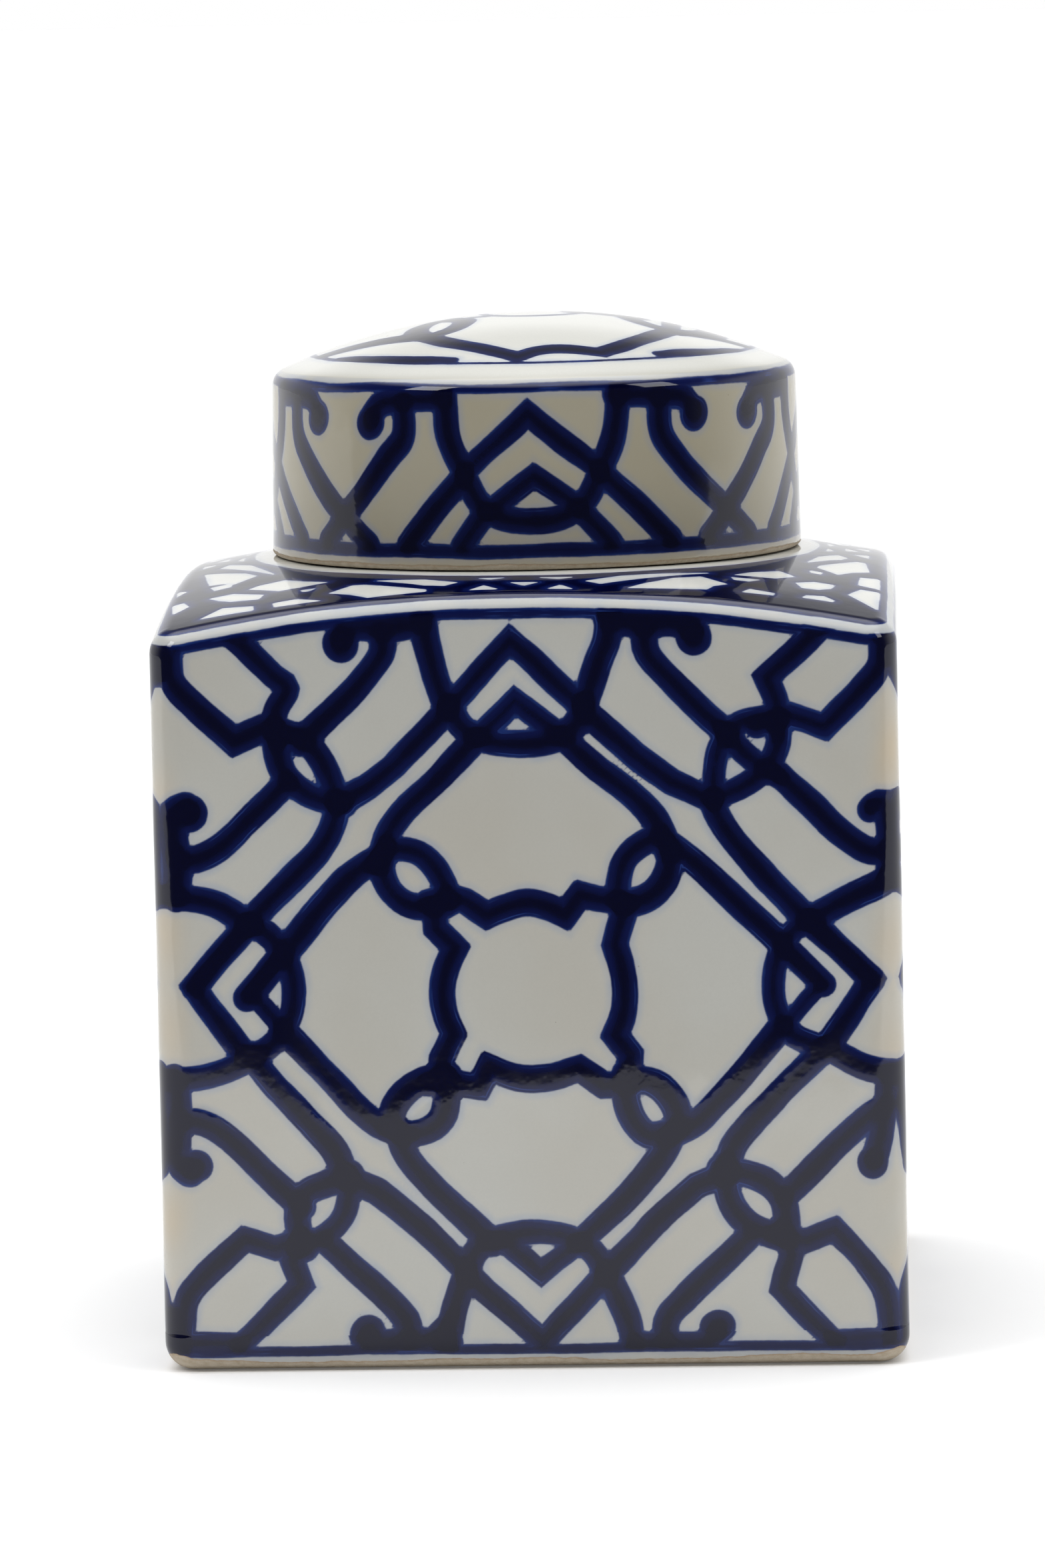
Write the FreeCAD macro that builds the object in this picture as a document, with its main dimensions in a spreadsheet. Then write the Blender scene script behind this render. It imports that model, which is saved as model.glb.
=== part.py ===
import FreeCAD, Part
import math
import os
import re

import Sketcher

# Square lidded jar of glazed porcelain, in millimetres: +Z up, front face towards -Y, and the origin at the
# centre of the foot's footprint. The jar body and the cap lid are the two separate pieces.

DIMENSIONS = {
    # square body
    "foot_width": 200.0,
    "shoulder_width": 198.7,
    "corner_radius": 8.5,
    "foot_rounding": 7.5,
    "wall": 6.5,
    "floor_thickness": 9.0,
    "inner_corner_radius": 6.0,
    "inner_foot_rounding": 5.0,
    "foot_ring_width": 15.0,
    "foot_recess_depth": 3.0,
    "foot_recess_corner": 6.0,
    # crowned shoulder: a flat ring seats the lid, and a very large ball falls away from it to the walls
    "seat_height": 211.8,
    "seat_radius": 75.0,
    "shoulder_ball_radius": 480.0,
    "shoulder_reach": 160.0,
    "arris_rounding": 7.0,
    "shoulder_thickness": 7.5,
    # round neck inside the lid
    "neck_radius": 65.2,
    "neck_wall": 6.0,
    "neck_rise": 34.0,
    "lip_rounding": 2.4,
    # cap lid
    "lid_clearance": 0.3,
    "lid_radius": 73.4,
    "lid_top_radius": 72.5,
    "lid_wall": 6.0,
    "lid_wall_rise": 50.0,
    "lid_total_rise": 65.6,
    "lid_edge_rounding": 5.0,
    "lid_rim_rounding": 1.6,
    "lid_inner_rounding": 6.0,
    "crown_thickness": 6.5,
}

doc = FreeCAD.newDocument("square_lidded_jar")
sheet = doc.addObject("Spreadsheet::Sheet", "Dimensions")
for row, (alias, value) in enumerate(DIMENSIONS.items(), start=1):
    sheet.set(f"A{row}", alias)
    sheet.set(f"B{row}", str(value))
    sheet.setAlias(f"B{row}", alias)
doc.recompute()


def bound(text):
    """The same expression with every alias read from the sheet."""
    return re.sub(r"[a-z_]{2,}", lambda word: f"Dimensions.{word[0]}", text)


def value_of(text):
    """The expression's present value, worked out by the sheet's own document."""
    return float(sheet.evalExpression(bound(text)))


def new_body(name):
    body = doc.addObject("PartDesign::Body", name)
    body.Label = name
    return body


def new_sketch(body, name, plane_role, height="0"):
    """A sketch on one of the body's own origin planes, lifted off it by the height."""
    sketch = body.newObject("Sketcher::SketchObject", name)
    plane = next(f for f in body.Origin.OriginFeatures if f.Role == plane_role)
    sketch.AttachmentSupport = [(plane, "")]
    sketch.MapMode = "FlatFace"
    sketch.setExpression("AttachmentOffset.Base.z", bound(height))
    return sketch


def constrain(sketch, kind, *args):
    return sketch.addConstraint(Sketcher.Constraint(kind, *args))


def dimension(sketch, kind, *args, size):
    """A driving dimension bound to the sheet."""
    index = constrain(sketch, kind, *args, value_of(size))
    sketch.setExpression(f"Constraints[{index}]", bound(size))


def rounded_square(body, name, height, width, radius):
    """A centred square outline with round corners, lying at the given height."""
    sketch = new_sketch(body, name, "XY_Plane", height)
    half, r = value_of(width) / 2, value_of(radius)
    for turn in range(4):
        spin = FreeCAD.Rotation(FreeCAD.Vector(0, 0, 1), 90 * turn)
        start = spin.multVec(FreeCAD.Vector(r - half, -half, 0))
        end = spin.multVec(FreeCAD.Vector(half - r, -half, 0))
        centre = spin.multVec(FreeCAD.Vector(half - r, r - half, 0))
        corner = Part.Circle(centre, FreeCAD.Vector(0, 0, 1), r)
        sketch.addGeometry(Part.LineSegment(start, end), False)
        sketch.addGeometry(
            Part.ArcOfCircle(corner, math.radians(90 * turn - 90), math.radians(90 * turn)), False
        )
    for turn in range(4):
        side, corner, next_side = 2 * turn, 2 * turn + 1, (2 * turn + 2) % 8
        constrain(sketch, "Tangent", side, 2, corner, 1)
        constrain(sketch, "Tangent", corner, 2, next_side, 1)
        constrain(sketch, "Vertical" if turn % 2 else "Horizontal", side)
    for corner in (3, 5, 7):
        constrain(sketch, "Equal", 1, corner)
    constrain(sketch, "Symmetric", 0, 1, 4, 1, -1, 1)
    dimension(sketch, "Radius", 1, size=radius)
    dimension(sketch, "DistanceY", 0, 1, 4, 1, size=width)
    dimension(sketch, "DistanceX", 6, 1, 2, 1, size=width)
    return sketch


def axis_arc(start, end):
    """The arc through two points of a half section whose centre lies on the axis."""
    centre_height = (end.x**2 - start.x**2 + end.y**2 - start.y**2) / (2 * (end.y - start.y))
    centre = FreeCAD.Vector(0, centre_height, 0)
    circle = Part.Circle(centre, FreeCAD.Vector(0, 0, 1), (start - centre).Length)
    angles = sorted(math.atan2(p.y - centre_height, p.x) for p in (start, end))
    return Part.ArcOfCircle(circle, *angles)


def turned_profile(body, name, corners, crowned=()):
    """A closed half section in the XZ plane, for turning about Z.

    Corners are (radius, height) expressions. A side listed in crowned is an arc centred on the axis.
    """
    sketch = new_sketch(body, name, "XZ_Plane")
    points = [FreeCAD.Vector(value_of(r), value_of(z), 0) for r, z in corners]
    following = points[1:] + points[:1]
    for i, (start, end) in enumerate(zip(points, following)):
        side = axis_arc(start, end) if i in crowned else Part.LineSegment(start, end)
        sketch.addGeometry(side, False)

    def ends(i):
        """The stored numbers of a side's start and end. An arc is stored with its outer end first."""
        backwards = i in crowned and points[i].x < following[i].x
        return (2, 1) if backwards else (1, 2)

    for i, (radius, height) in enumerate(corners):
        after = (i + 1) % len(corners)
        constrain(sketch, "Coincident", i, ends(i)[1], after, ends(after)[0])
        start = (i, ends(i)[0])
        if radius == "0":
            constrain(sketch, "PointOnObject", *start, -2)
        else:
            dimension(sketch, "DistanceX", -1, 1, *start, size=radius)
        dimension(sketch, "DistanceY", -1, 1, *start, size=height)
    for i in crowned:
        constrain(sketch, "PointOnObject", i, 3, -2)
    return sketch


def turn(body, kind, name, sketch):
    """Turn a half section a full circle about Z, adding or cutting."""
    feature = body.newObject(kind, name)
    feature.Profile = sketch
    feature.ReferenceAxis = (sketch, ["V_Axis"])
    feature.Angle = 360
    doc.recompute()
    return feature


def loft(body, name, lower, upper):
    feature = body.newObject("PartDesign::AdditiveLoft", name)
    feature.Profile = lower
    feature.Sections = [upper]
    feature.Ruled = True
    doc.recompute()
    return feature


def edges_where(shape, test):
    """Names of the edges whose middle point passes the test."""
    names = []
    for number, edge in enumerate(shape.Edges, start=1):
        middle = edge.valueAt((edge.FirstParameter + edge.LastParameter) / 2)
        if test(middle, edge):
            names.append(f"Edge{number}")
    return names


def fillet(body, name, base, radius, test):
    feature = body.newObject("PartDesign::Fillet", name)
    edges = edges_where(base.Shape, test)
    if not edges:
        raise RuntimeError(f"{name}: no edge to round")
    feature.Base = (base, edges)
    feature.setExpression("Radius", bound(radius))
    doc.recompute()
    return feature


def shoulder_height(radius, drop="0"):
    """Height of the shoulder's crown at a radius, less a drop for its underside."""
    return f"seat_height - ({radius}^2 - seat_radius^2) / (2 * shoulder_ball_radius) - {drop}"


def flat_round(edge, height):
    """True for an edge lying level at the height."""
    box = edge.BoundBox
    return box.ZLength < 1e-6 and abs(box.ZMin - height) < 1e-6


def make_hollow():
    """The space inside the jar: a square room under the shoulder, and a round way out through the neck."""
    body = new_body("hollow_form")
    lower = rounded_square(
        body, "RoomFloor", "floor_thickness", "foot_width - 2 * wall", "inner_corner_radius"
    )
    upper = rounded_square(
        body, "RoomTop", "seat_height", "shoulder_width - 2 * wall", "inner_corner_radius"
    )
    loft(body, "Room", lower, upper)
    underside = shoulder_height("shoulder_reach", "shoulder_thickness")
    above = "seat_height + shoulder_thickness"
    roof = turned_profile(
        body,
        "RoofProfile",
        [
            ("0", "seat_height - shoulder_thickness"),
            ("seat_radius", "seat_height - shoulder_thickness"),
            ("shoulder_reach", underside),
            ("shoulder_reach", above),
            ("0", above),
        ],
        crowned=(1,),
    )
    turn(body, "PartDesign::Groove", "Roof", roof)
    mouth_radius = "neck_radius - neck_wall"
    mouth = turned_profile(
        body,
        "MouthProfile",
        [
            ("0", "seat_height - 4 * shoulder_thickness"),
            (mouth_radius, "seat_height - 4 * shoulder_thickness"),
            (mouth_radius, "seat_height + 2 * neck_rise"),
            ("0", "seat_height + 2 * neck_rise"),
        ],
    )
    mouth = turn(body, "PartDesign::Revolution", "Mouth", mouth)
    fillet(
        body,
        "RoomFloorRounding",
        mouth,
        "inner_foot_rounding",
        lambda p, e: flat_round(e, value_of("floor_thickness")),
    )
    return body


def make_jar():
    body = new_body("jar_body")
    lower = rounded_square(body, "FootOutline", "0", "foot_width", "corner_radius")
    upper = rounded_square(
        body, "ShoulderOutline", "seat_height", "shoulder_width", "corner_radius"
    )
    block = loft(body, "Block", lower, upper)

    above = "seat_height + shoulder_thickness"
    slope = turned_profile(
        body,
        "ShoulderProfile",
        [
            ("seat_radius", "seat_height"),
            ("shoulder_reach", shoulder_height("shoulder_reach")),
            ("shoulder_reach", above),
            ("seat_radius", above),
        ],
        crowned=(0,),
    )
    shoulder = turn(body, "PartDesign::Groove", "Shoulder", slope)

    lowest_arris = value_of(shoulder_height("shoulder_reach"))
    seat = value_of("seat_height")
    half_seat = value_of("seat_radius") + 1
    arris = fillet(
        body,
        "ArrisRounding",
        shoulder,
        "arris_rounding",
        lambda p, e: lowest_arris < p.z < seat - 1
        and e.BoundBox.ZMin > lowest_arris
        and math.hypot(p.x, p.y) > half_seat,
    )
    foot = fillet(body, "FootRounding", arris, "foot_rounding", lambda p, e: flat_round(e, 0))

    neck = turned_profile(
        body,
        "NeckProfile",
        [
            ("0", "seat_height - shoulder_thickness / 2"),
            ("neck_radius", "seat_height - shoulder_thickness / 2"),
            ("neck_radius", "seat_height + neck_rise"),
            ("0", "seat_height + neck_rise"),
        ],
    )
    turn(body, "PartDesign::Revolution", "Neck", neck)

    recess = rounded_square(
        body, "RecessOutline", "0", "foot_width - 2 * foot_ring_width", "foot_recess_corner"
    )
    pocket = body.newObject("PartDesign::Pocket", "FootRecess")
    pocket.Profile = recess
    pocket.Reversed = True
    pocket.setExpression("Length", bound("foot_recess_depth"))
    doc.recompute()

    hollow = body.newObject("PartDesign::Boolean", "Hollow")
    hollow.Type = "Cut"
    hollow.setObjects([make_hollow()])
    doc.recompute()

    lip_height = value_of("seat_height + neck_rise")
    fillet(body, "LipRounding", hollow, "lip_rounding", lambda p, e: flat_round(e, lip_height))
    return body


def make_lid():
    body = new_body("lid")
    base = "seat_height + lid_clearance"
    wall_top = f"{base} + lid_wall_rise"
    crown = f"{base} + lid_total_rise"
    outline = turned_profile(
        body,
        "LidProfile",
        [
            ("lid_radius - lid_wall", base),
            ("lid_radius", base),
            ("lid_top_radius", wall_top),
            ("0", crown),
            ("0", f"{crown} - crown_thickness"),
            ("lid_top_radius - lid_wall", f"{wall_top} - crown_thickness"),
        ],
        crowned=(2, 4),
    )
    shell = turn(body, "PartDesign::Revolution", "Shell", outline)
    edge = fillet(
        body,
        "EdgeRounding",
        shell,
        "lid_edge_rounding",
        lambda p, e: flat_round(e, value_of(wall_top)),
    )
    inner = fillet(
        body,
        "InnerRounding",
        edge,
        "lid_inner_rounding",
        lambda p, e: flat_round(e, value_of(f"{wall_top} - crown_thickness")),
    )
    fillet(body, "RimRounding", inner, "lid_rim_rounding", lambda p, e: flat_round(e, value_of(base)))
    return body


pieces = [make_jar(), make_lid()]
doc.recompute()

for item in doc.Objects:
    if "Invalid" in item.State or "Error" in item.State:
        raise RuntimeError(f"{item.Name} failed: {item.State}")
for piece in pieces:
    if piece.Shape.isNull() or not piece.Shape.isValid() or len(piece.Shape.Solids) != 1:
        raise RuntimeError(f"{piece.Label} is not one valid solid")

os.makedirs("parts", exist_ok=True)
for piece in pieces:
    piece.Shape.exportStep(f"parts/{piece.Label}.step")
    box = piece.Shape.BoundBox
    print(
        f"{piece.Label}: {box.XLength:.2f} x {box.YLength:.2f} x {box.ZLength:.2f} mm,"
        f" z {box.ZMin:.2f} to {box.ZMax:.2f}, {piece.Shape.Volume / 1000:.1f} cm3"
    )
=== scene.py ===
"""A square porcelain ginger jar with a round cap lid, painted in underglaze blue.

Shapes and painting are worked out in millimetres, and turned to metres as each mesh is made. The painting is
laid out on the flattened surfaces. The stage and the camera are in metres.
"""
import math

import bpy
import numpy as np
from mathutils import Matrix, Vector


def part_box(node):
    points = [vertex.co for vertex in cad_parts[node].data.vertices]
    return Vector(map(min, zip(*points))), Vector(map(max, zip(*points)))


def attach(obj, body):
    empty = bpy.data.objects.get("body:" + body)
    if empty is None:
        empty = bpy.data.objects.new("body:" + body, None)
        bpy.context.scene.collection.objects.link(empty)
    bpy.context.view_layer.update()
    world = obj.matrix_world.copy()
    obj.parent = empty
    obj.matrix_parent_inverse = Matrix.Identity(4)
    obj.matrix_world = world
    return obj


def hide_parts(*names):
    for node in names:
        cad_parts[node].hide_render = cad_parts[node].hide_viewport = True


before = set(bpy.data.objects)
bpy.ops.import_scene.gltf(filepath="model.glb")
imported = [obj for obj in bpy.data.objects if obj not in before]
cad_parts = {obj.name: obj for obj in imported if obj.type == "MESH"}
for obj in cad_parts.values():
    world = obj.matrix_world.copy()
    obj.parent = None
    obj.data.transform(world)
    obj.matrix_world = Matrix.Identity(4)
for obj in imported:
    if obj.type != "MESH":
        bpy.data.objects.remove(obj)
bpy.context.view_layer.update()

MM = 0.001
rng = np.random.default_rng(816)  # for the brush's unsteadiness

# ---------------------------------------------------------------- sizes, in millimetres, taken from the frame
jar_low, jar_high = (np.array(c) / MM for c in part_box("jar_body"))
lid_low, lid_high = (np.array(c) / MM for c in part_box("lid"))

FOOT_HALF = float(jar_high[0])
NECK_TOP = float(jar_high[2])
LID_BASE = float(lid_low[2])
LID_TOP = float(lid_high[2])
LID_RADIUS = float(lid_high[0])

CORNER = 8.5  # radius of the upright edges
FOOT_ROUND = 7.5
FOOT_TOP = 10.0  # where the walls begin, above the rounding of the foot
DRAFT = 0.65 / 211.8  # how much each wall leans in for each millimetre of height
SHOULDER_EDGE = 205.0  # height at which the shoulder's outline is taken
SEAT = LID_BASE - 0.3  # the flat ring that the lid stands on
SEAT_RADIUS = 75.0
CROWN_BALL = 480.0
ARRIS = 7.0  # rounding between wall and shoulder
WALL = 6.5
FLOOR = 9.0
RECESS = 3.0
RING_WIDTH = 15.0
ROOF = 7.5
NECK_RADIUS = 65.2
NECK_WALL = 6.0
NECK_INSIDE = NECK_RADIUS - NECK_WALL
LIP = 2.4
LID_TAPER = 0.9
LID_WALL_RISE = 50.0
LID_EDGE = 5.0
LID_WALL = 6.0
LID_RIM = 1.6  # rounding of the rim that the lid stands on
CROWN_THICK = 6.5

SIDE_CELLS = 184  # columns across the flat of one wall
ARC_CELLS = 8  # columns round half a corner
QUARTER = SIDE_CELLS + 2 * ARC_CELLS
RING = 4 * QUARTER
UNDERSIDE_ROWS = 10  # the recess under the foot
WALL_ROWS = 200
ARRIS_ROWS = 13
SHOULDER_ROWS = 56
LID_COLUMNS = 480

OUTSIDE = ["floor", "wall", "arris", "shoulder"]  # the kinds of the jar's outer rings, but for its neck
CLEAR = 8.0  # ink distance where nothing is painted near
NOWHERE = -50.0  # a height for rings that a line of the painting never reaches
FOOT_LINE = 5.8  # height of the line round the wall's foot


# ---------------------------------------------------------------- brush strokes
def smooth_step(x):
    x = np.clip(x, 0.0, 1.0)
    return x * x * (3 - 2 * x)


def through(points, closed=False):
    """A line sampled every 1.4 mm or so. Points with a third value are smooth, the others are corners."""
    pts = [(p[0], p[1], len(p) > 2) for p in points]
    if closed:
        pts = pts + [pts[0]]
    out = [np.array(pts[0][:2], float)]
    count = len(pts)
    for i in range(count - 1):
        a, b = np.array(pts[i][:2], float), np.array(pts[i + 1][:2], float)
        before = np.array(pts[i - 1][:2], float) if pts[i][2] and i > 0 else 2 * a - b
        after = np.array(pts[i + 2][:2], float) if pts[i + 1][2] and i + 2 < count else 2 * b - a
        if closed and i == 0 and pts[0][2]:
            before = np.array(pts[-2][:2], float)
        if closed and i == count - 2 and pts[0][2]:
            after = np.array(pts[1][:2], float)
        steps = max(2, int(np.hypot(*(b - a)) / 1.4))
        for k in range(1, steps + 1):
            t = k / steps
            bend = (2 * before - 5 * a + 4 * b - after) * t**2 + (3 * a - before - 3 * b + after) * t**3
            out.append(0.5 * (2 * a + (b - before) * t + bend))
    return np.array(out)


class Stroke:
    """One pass of the brush: a chain of round-ended dashes, with its sharp corners filled out to a point."""

    def __init__(self, points, width=7.4, closed=False, tip=1.0, shaky=1.0):
        line = through(points, closed)
        run = np.concatenate([[0], np.cumsum(np.hypot(*np.diff(line, axis=0).T))])
        aim = np.diff(line, axis=0)
        aim /= np.maximum(np.hypot(*aim.T), 1e-9)[:, None]
        turn = np.arccos(np.clip((aim[:-1] * aim[1:]).sum(1), -1, 1))
        corners = [] if closed else [i + 1 for i in np.nonzero(turn > 0.4)[0]]
        phase = rng.uniform(0, 6.28, 4)
        wobble = 0.15 * np.sin(run / 7.3 + phase[0]) + 0.06 * np.sin(run / 2.9 + phase[1])
        swell = 0.035 * np.sin(run / 8.0 + phase[2]) + 0.015 * np.sin(run / 3.1 + phase[3])
        for i in corners:
            wobble *= smooth_step(np.abs(run - run[i]) / 6.0)
            swell *= smooth_step(np.abs(run - run[i]) / 6.0)
        half = width / 2 * (1 + shaky * swell)
        if not closed:
            sideways = np.gradient(line, axis=0)[:, ::-1] * (-1, 1)
            sideways /= np.maximum(np.hypot(*sideways.T), 1e-9)[:, None]
            line = line + shaky * wobble[:, None] * sideways
            if tip < 1.0:
                ends = np.minimum(run, run[-1] - run)
                half = half * (tip + (1 - tip) * smooth_step(ends / (width * 1.6)))
        self.points, self.along, self.half = line[:-1], np.diff(line, axis=0), half
        self.tips = []
        for i in corners:
            before, after = aim[i - 1], aim[i]
            side = math.copysign(1.0, before[1] * after[0] - before[0] * after[1])
            normals = [side * np.array([-d[1], d[0]]) for d in (before, after)]
            self.tips.append((line[i], half[i], before, after, normals))
        margin = self.half.max() * 1.5 + 6
        self.low = line.min(0) - margin
        self.high = line.max(0) + margin

    def distance(self, p):
        """Distance to the stroke's edge, negative inside it."""
        best = np.full(len(p), 99.0)
        length2 = np.maximum((self.along**2).sum(1), 1e-12)
        for i in range(0, len(self.points), 40):
            s = slice(i, i + 40)
            d = p[:, None] - self.points[None, s]
            t = np.clip((d * self.along[s]).sum(2) / length2[s], 0, 1)
            gap = np.hypot(d[..., 0] - t * self.along[s, 0], d[..., 1] - t * self.along[s, 1])
            half = self.half[:-1][s] * (1 - t) + self.half[1:][s] * t
            best = np.minimum(best, (gap - half).min(1))
        for corner, half, before, after, (first, second) in self.tips:
            q = p - corner
            wedge = np.maximum(np.maximum(q @ first, q @ second) - half, np.maximum(-(q @ before), q @ after))
            best = np.minimum(best, wedge)
        return best


class Dot:
    """The round start of a scroll, or a single drop of colour."""

    def __init__(self, centre, radius):
        self.centre, self.radius = np.array(centre, float), radius
        self.low, self.high = self.centre - radius - 6, self.centre + radius + 6

    def distance(self, p):
        turn = np.arctan2(*(p - self.centre).T)
        return np.hypot(*(p - self.centre).T) - self.radius * (1 + 0.04 * np.sin(2 * turn + self.radius * 9))


class Ink:
    """The painting over a set of points: distance to the nearest stroke's edge, and how many overlap."""

    def __init__(self, count):
        self.edge = np.full(count, CLEAR)
        self.load = np.zeros(count)

    def lay(self, distance, at=slice(None)):
        self.edge[at] = np.minimum(self.edge[at], distance)
        self.load[at] += smooth_step(-distance / 1.5)

    def trim(self, beyond):
        """Ends all that is painted so far along a line: beyond is the distance past it."""
        self.edge = np.clip(beyond, self.edge, CLEAR)
        self.load *= smooth_step(0.5 - beyond)

    def paint(self, strokes, p, where=None):
        allowed = np.ones(len(p), bool) if where is None else where
        for stroke in strokes:
            near = allowed & (p > stroke.low).all(1) & (p < stroke.high).all(1)
            at = np.nonzero(near)[0]
            if len(at):
                self.lay(stroke.distance(p[at]), at)


class Brush:
    """Collects the strokes of one repeat of the painting."""

    def __init__(self, width):
        self.width, self.strokes = width, []

    def line(self, *points, width=None, **how):
        self.strokes.append(Stroke(list(points), width or self.width, **how))

    def curve(self, *points, width=None, **how):
        """A line that passes every point but its ends smoothly."""
        soft = [points[0], *((*p, 1) for p in points[1:-1]), points[-1]]
        self.strokes.append(Stroke(soft, width or self.width, **how))

    def ball(self, u, v, radius):
        self.strokes.append(Dot((u, v), radius))


def paint_top_and_bottom(b):
    """Two chevrons over a ring, between a pair of scrolls, at the middle of the top and bottom edges."""
    b.line((-19.5, 178.5), (-2.7, 195.8), (15.7, 178.5), width=7.0)
    b.line((-11.2, 170.9), (-1.8, 179.9), (9.4, 171), width=6.6)
    b.curve((-19, 179), (-16, 173.4), (-9, 169.5), (0.3, 168.3), (9.2, 169.6), (14.4, 173.2), (17, 179),
            width=7.4)
    b.curve((-25.8, 203), (-25, 196), (-23.2, 189), (-19.9, 178.5), width=7.6)
    b.curve((23.4, 203), (22.8, 196), (20.6, 190), (16.8, 178.5), width=7.6)
    b.ball(-47.6, 195.8, 5.1)
    b.curve((-47, 198), (-43, 200.4), (-35, 200), (-26, 201.6), width=8.6)
    b.curve((-36.6, 198), (-36.9, 193), (-42, 186.2), (-49.5, 178.5), (-58.8, 169.6), width=7.6)
    b.ball(45.8, 196.2, 5.1)
    b.curve((45.4, 198.4), (40, 200.4), (32, 200), (23.5, 201.6), width=8.6)
    b.curve((32.8, 198), (33.5, 192), (38.8, 185.4), (45, 178.8), (55, 169.6), width=7.4)
    b.line((-17.8, 26.4), (2.3, 7.8), (19.4, 26), width=7.0)
    b.line((-8.6, 35.6), (2, 26.4), (12.5, 35), width=6.4)
    b.curve((-18.4, 26), (-15.4, 32.4), (-9.4, 36), (0.4, 37.4), (9.4, 36), (15.8, 32), (19.4, 25.6),
            width=7.0)
    b.curve((-23.6, 6), (-22.4, 12), (-20.8, 18.6), (-17.8, 26.4), width=7.6)
    b.line((-22, 15.6), (-28, 9.4), width=5.0)
    b.curve((26.4, 6), (25.4, 12), (23, 18.4), (19.4, 26), width=7.6)
    b.ball(-44.8, 10.7, 4.9)
    b.curve((-44.6, 8.6), (-40, 7.8), (-32, 8), (-23, 7.8), width=8.0)
    b.curve((-33.6, 9), (-34.4, 14), (-39.2, 19.6), (-46.6, 27), (-56, 36.2))
    b.ball(48.8, 11.3, 4.8)
    b.curve((48.6, 9.4), (44, 7), (36, 7.2), (26.6, 7.2), width=6.4)
    b.curve((34.6, 8.4), (35.8, 14), (40.4, 19), (48, 26.4), (57.6, 35.8))


def paint_great_diamond(b):
    """The double line of the diamond that fills the wall, broken by loops and rings."""
    b.line((-20, 177.5), (-34.3, 162.7), (-41.5, 157.4), (-49.2, 153.4))
    b.line((-12.5, 170), (-22, 160.2), (-32.2, 150.4, 1), (-36.8, 143.6, 1), (-38, 137))
    b.curve((-39.4, 138.4), (-44.6, 135.2), (-50.2, 130.3), (-60.8, 117.6), (-75, 101.6), width=7.9)
    b.line((-49.2, 153.4), (-51, 147, 1), (-55.6, 139.8, 1), (-63, 132.6), (-73, 122.3), (-80, 115),
           (-89, 104.6))
    b.line((16.2, 177.5), (29.7, 165), (39, 157.6), (50, 152.6))
    b.line((10.5, 170), (20, 161.5), (30.8, 152.4, 1), (35.4, 146, 1), (38, 138.5))
    b.curve((38.4, 141), (43.4, 137.4), (49.2, 132.2), (57.5, 124.2), (66.2, 115.4), (78.4, 103))
    b.line((50, 152.6), (51.8, 147.8, 1), (56.4, 140.4, 1), (64.2, 131.4), (73, 122.2), (81, 114.5),
           (91.4, 104))
    b.line((-74.6, 86.5), (-67.7, 77.2), (-60, 68.6), (-52.4, 60, 1), (-49.4, 52))
    b.line((-65.5, 93), (-54.6, 81), (-46.5, 71.8, 1), (-40, 66.8, 1), (-33, 64.4))
    b.line((-49.4, 53), (-41.5, 49.2), (-29, 38.4), (-17.8, 27))
    b.line((-35.6, 66.5), (-33.2, 58.6, 1), (-27.6, 51.2, 1), (-20.5, 43.8), (-10.5, 34.6))
    b.line((79, 86.5), (66.6, 74.4), (59.8, 67), (53.8, 59.6, 1), (52.4, 52.4))
    b.line((67, 91.5), (58.8, 81.4), (51, 73.2), (44.4, 66.8, 1), (37, 63.2))
    b.line((52.2, 52.6), (44, 49.6), (32, 38.8), (19.4, 26))
    b.line((38.6, 65), (35.6, 59, 1), (30, 51.6, 1), (22.5, 44), (12, 34))


def paint_frame(b):
    """The cusped frame in the middle of the wall, and the loops on its four corners."""
    b.line((-26, 126.4), (-20.5, 128), (-16.2, 126.6), (-10.4, 122.7), (-5, 125.1, 1), (0.3, 126.2, 1),
           (5.4, 125, 1), (10.4, 122.6), (14.6, 128), (19, 126.6), (27, 125.4))
    b.line((-24.4, 125), (-24, 119.4), (-19, 114.2), (-21.6, 109, 1), (-22.7, 103, 1), (-21.8, 96, 1),
           (-20, 91), (-23.3, 84.4), (-23.6, 78), width=7.2)
    b.line((26.4, 125), (24.7, 119.5), (23.4, 114.4), (25.2, 109, 1), (25.9, 103, 1), (25.4, 96, 1),
           (23, 90.2), (27, 85), (26.4, 78))
    b.line((-27, 78), (-19.5, 77.6), (-13.4, 76.8), (-10.7, 82), (-5, 79.6, 1), (0.6, 78.8, 1),
           (7.5, 79.7, 1), (13.3, 81.4), (19.6, 76.8), (28, 76.8))
    b.curve((-40.4, 136.4), (-37.4, 140), (-33, 141), (-28, 139.6), (-24.2, 136.2), (-21.8, 131.6),
            (-20.6, 127), width=7.0)
    b.curve((-37, 142), (-38.4, 137.6), (-37.6, 133), (-35.4, 129.1), (-31.9, 126.3), (-27.3, 125.2),
            (-21, 126), width=7.4)
    b.curve((37, 143.6), (31.4, 141.6), (26.6, 137.6), (24.8, 131.6), (24.4, 126), width=7.2)
    b.curve((38.6, 140), (38.2, 135), (35.8, 130.2), (31.8, 126.8), (26, 125.2), width=8.0)
    b.curve((-37.6, 66.6), (-36.4, 71.4), (-32.8, 76), (-27.8, 78.8), (-21.6, 79.8), width=7.4)
    b.curve((-22, 80), (-22.4, 73), (-23.8, 68.4), (-27.6, 65.2), (-33, 64.2), (-38.6, 66), width=7.4)
    b.curve((39.6, 65), (38.6, 70.6), (34.8, 76), (29.8, 78.2), (25, 78), width=7.8)
    b.curve((25.4, 80), (25.6, 73), (27.4, 67.4), (31.4, 63.4), (38, 64), width=7.8)


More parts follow.
